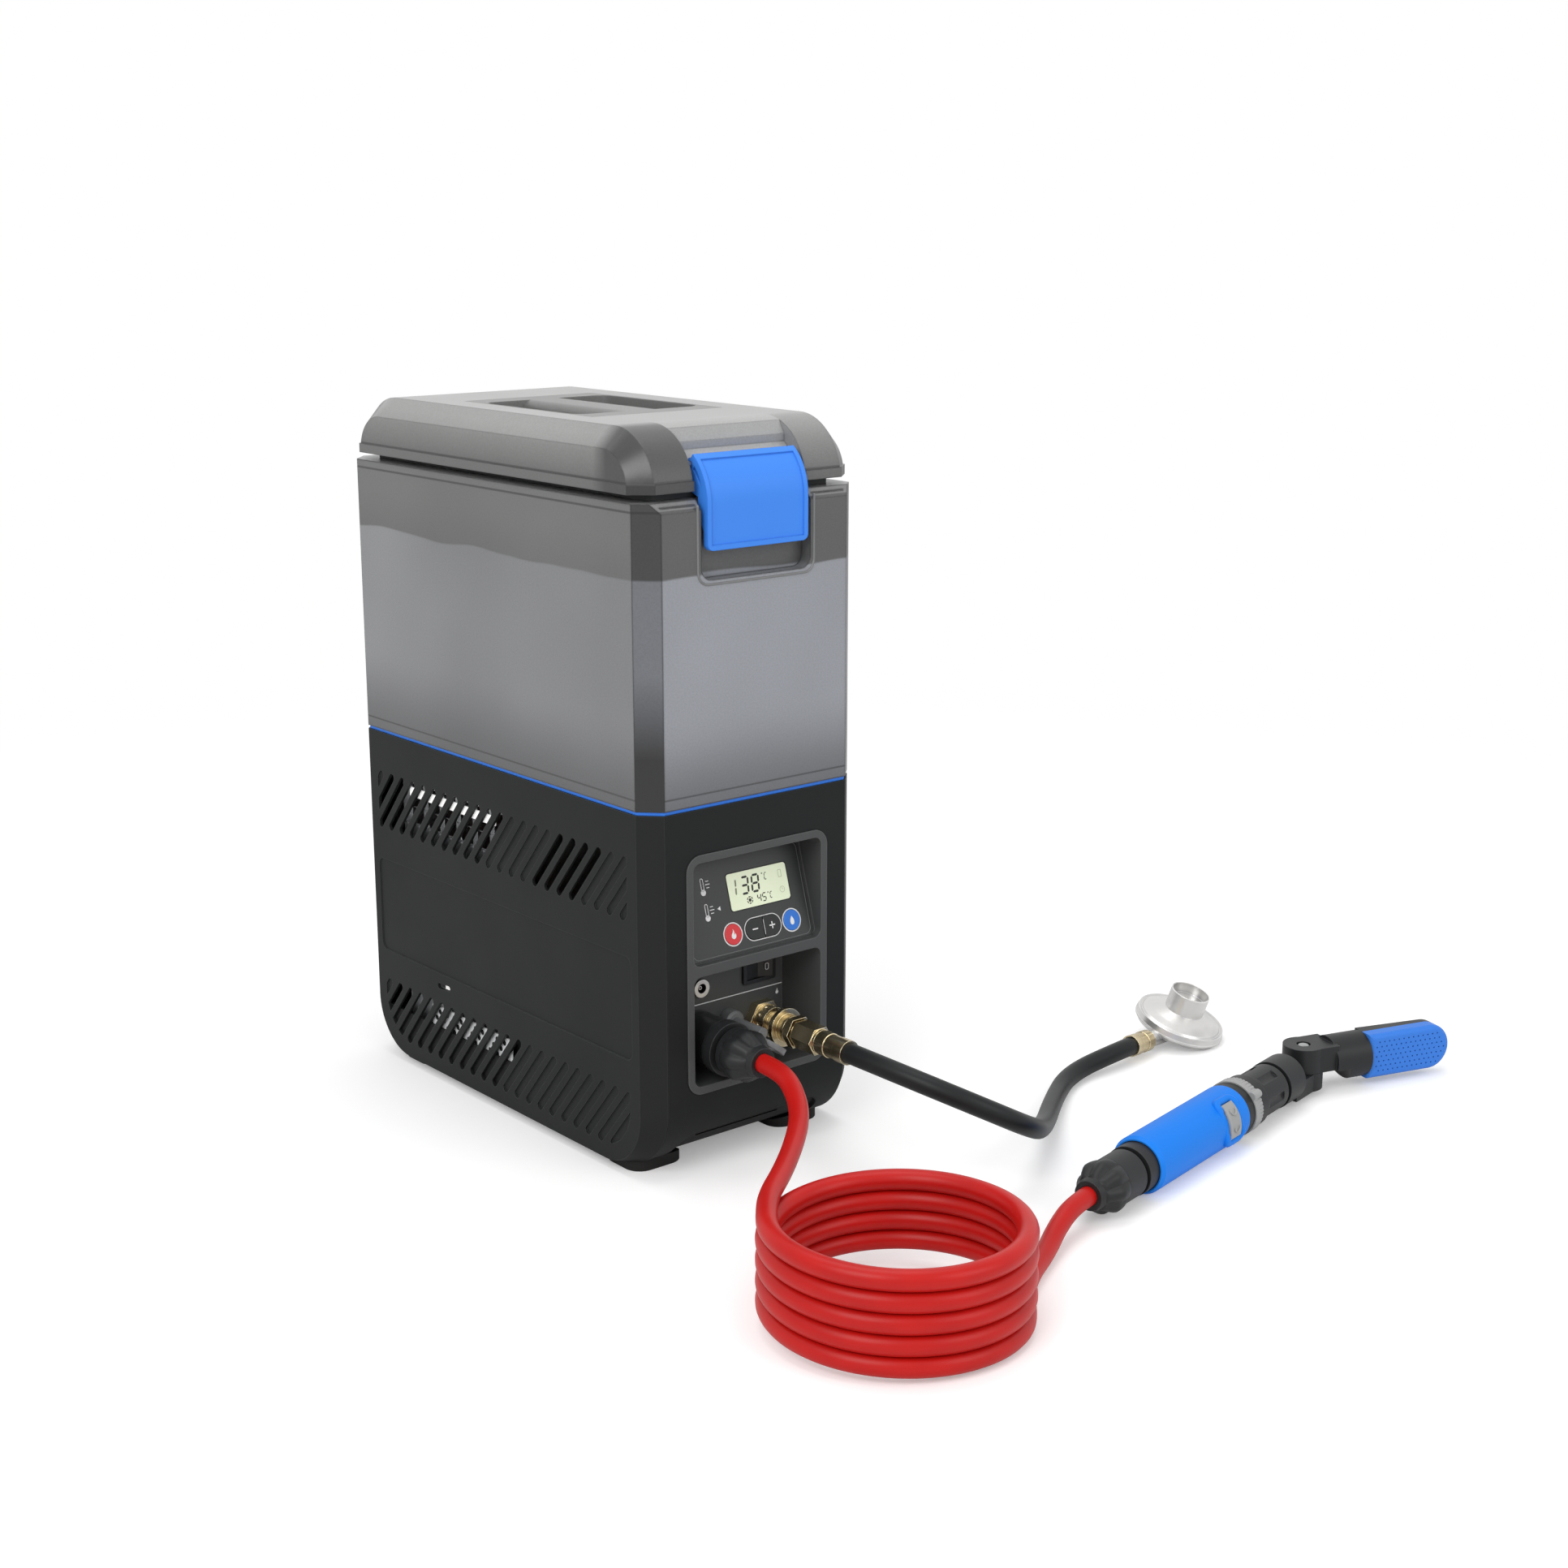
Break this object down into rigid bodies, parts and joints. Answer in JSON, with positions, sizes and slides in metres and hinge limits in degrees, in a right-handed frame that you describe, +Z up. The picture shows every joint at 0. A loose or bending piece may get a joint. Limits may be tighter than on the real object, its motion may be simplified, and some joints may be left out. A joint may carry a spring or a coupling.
{
  "type": "portable propane water heater",
  "caption": "Portable gas water heater: smoky tank with latched lid and carrying handle on a vented base with controls, a gas hose with regulator, and a coiled shower hose with wand.",
  "frame": {"origin": "on the floor under the middle of the heater, between its four feet", "axes": "+Z up, -Y towards the control side where the hoses plug in, +X to the right when facing the controls"},
  "size_m": [0.6729, 0.6825, 0.498],
  "materials": {
    "black_plastic": "fine moulded grain",
    "tray_plastic": "moulded",
    "bezel_plastic": "fine moulded grain",
    "panel_plastic": "satin",
    "lcd": "clear window",
    "red_key": "satin",
    "blue_key": "satin",
    "grey_key": "satin",
    "circuit_board": "laminate",
    "switch_plastic": "moulded",
    "rubber": "moulded",
    "steel": "turned",
    "brass": "machined",
    "gas_hose_rubber": "smooth",
    "silver_zinc": "silver coated casting",
    "red_hose": "smooth",
    "wand_black": "moulded",
    "wand_blue": "soft moulded",
    "grey_plastic": "moulded",
    "smoky_tank": "clear smoky moulded",
    "smoky_lid": "clear smoky moulded",
    "tray_clear": "smoky moulded",
    "silicone": "moulded",
    "trim_blue": "moulded",
    "sheet_metal": "bright sheet",
    "copper": "drawn tube",
    "motor_plastic": "moulded"
  },
  "bodies": {
    "base": {"side_cover_left": "black_plastic", "side_cover_right": "black_plastic", "front_cover": "black_plastic", "rear_cover": "black_plastic", "cover_screws": "steel", "base_tray": "tray_plastic", "top_deck": "tray_plastic", "rubber_feet": "rubber", "trim_band": "trim_blue", "front_bezel": "bezel_plastic", "control_panel": "panel_plastic", "lcd_window": "lcd", "control_board": "circuit_board", "switch_frame": "switch_plastic", "dc_socket": "switch_plastic", "gas_inlet": "brass", "gas_plug": "brass", "hose_ferrules": "brass", "gas_hose": "gas_hose_rubber", "regulator_body": "silver_zinc", "regulator_cover": "silver_zinc", "regulator_cup": "silver_zinc", "water_outlet": "wand_black", "hose_nuts": "wand_black", "hose_lead": "red_hose", "hose_coil": "red_hose", "hose_tail": "red_hose", "wand_grip": "wand_blue", "wand_barrel": "wand_black", "head_clevis": "wand_black", "pivot_screw": "steel", "drain_plug": "wand_black", "tank_shell": "smoky_tank", "hinge_pin": "steel", "burner_housing": "sheet_metal", "burner": "sheet_metal", "heat_exchanger": "copper", "blower_housing": "motor_plastic", "water_pump": "motor_plastic", "gas_valve": "brass", "pipework": "copper"},
    "lid": {"lid_shell": "smoky_lid", "lid_seal": "silicone", "handle_tray": "tray_clear", "latch_pin": "steel"},
    "latch": {"latch": "trim_blue"},
    "flame_button": {"flame_button": "red_key"},
    "minus_button": {"minus_button": "grey_key"},
    "plus_button": {"plus_button": "grey_key"},
    "water_button": {"water_button": "blue_key"},
    "switch_rocker": {"switch_rocker": "switch_plastic"},
    "blower_wheel": {"blower_wheel": "motor_plastic"},
    "gas_sleeve": {"gas_coupler_sleeve": "brass"},
    "coupler_collar": {"coupler_collar": "wand_black"},
    "wand_collar": {"wand_collar": "wand_black"},
    "head_collar": {"head_collar": "wand_black"},
    "wand_trigger": {"wand_trigger": "grey_plastic"},
    "flow_ring": {"flow_ring": "grey_plastic"},
    "head": {"head_body": "wand_black", "spray_face": "wand_blue"}
  },
  "joints": [
    {"name": "lid_hinge", "type": "hinge", "parent": "base", "child": "lid", "pos_m": [0, 0.176, 0.4555], "axis": [-1, 0, 0], "range_deg": [0, 100]},
    {"name": "latch_hinge", "type": "hinge", "parent": "lid", "child": "latch", "pos_m": [0, -0.1645, 0.474], "axis": [-1, 0, 0], "range_deg": [0, 70]},
    {"name": "flame_button_press", "type": "slide", "parent": "base", "child": "flame_button", "axis": [0, 0.9588, -0.284], "range_m": [0, 0.001], "stiffness_N_per_m": 400, "springref_m": -0.001},
    {"name": "minus_button_press", "type": "slide", "parent": "base", "child": "minus_button", "axis": [0, 0.9588, -0.284], "range_m": [0, 0.001], "stiffness_N_per_m": 400, "springref_m": -0.001},
    {"name": "plus_button_press", "type": "slide", "parent": "base", "child": "plus_button", "axis": [0, 0.9588, -0.284], "range_m": [0, 0.001], "stiffness_N_per_m": 400, "springref_m": -0.001},
    {"name": "water_button_press", "type": "slide", "parent": "base", "child": "water_button", "axis": [0, 0.9588, -0.284], "range_m": [0, 0.001], "stiffness_N_per_m": 400, "springref_m": -0.001},
    {"name": "switch_rock", "type": "hinge", "parent": "base", "child": "switch_rocker", "pos_m": [0.0268, -0.1455, 0.1225], "axis": [0, 0, 1], "range_deg": [0, 14]},
    {"name": "blower_spin", "type": "hinge", "parent": "base", "child": "blower_wheel", "pos_m": [-0.043, -0.052, 0.055], "axis": [1, 0, 0], "continuous": true},
    {"name": "gas_sleeve_pull", "type": "slide", "parent": "base", "child": "gas_sleeve", "axis": [0, 1, 0], "range_m": [0, 0.004], "stiffness_N_per_m": 400, "springref_m": -0.002},
    {"name": "coupler_collar_pull", "type": "slide", "parent": "base", "child": "coupler_collar", "axis": [0, -1, 0], "range_m": [0, 0.003], "stiffness_N_per_m": 400, "springref_m": -0.002},
    {"name": "wand_collar_pull", "type": "slide", "parent": "base", "child": "wand_collar", "axis": [-0.9799, -0.1994, 0], "range_m": [0, 0.003], "stiffness_N_per_m": 400, "springref_m": -0.002},
    {"name": "head_collar_pull", "type": "slide", "parent": "base", "child": "head_collar", "axis": [0.9799, 0.1994, 0], "range_m": [0, 0.003], "stiffness_N_per_m": 400, "springref_m": -0.002},
    {"name": "wand_trigger_swing", "type": "hinge", "parent": "base", "child": "wand_trigger", "pos_m": [0.24469, -0.3689, 0.02], "axis": [-0.9799, -0.1994, 0], "range_deg": [0, 8]},
    {"name": "flow_ring_turn", "type": "hinge", "parent": "base", "child": "flow_ring", "pos_m": [0.28095, -0.36152, 0.02], "axis": [0.9799, 0.1994, 0], "range_deg": [-45, 45]},
    {"name": "head_pivot", "type": "hinge", "parent": "base", "child": "head", "pos_m": [0.38188, -0.34099, 0.02], "axis": [0, 0, 1], "range_deg": [-16.7, 73.3]}
  ]
}
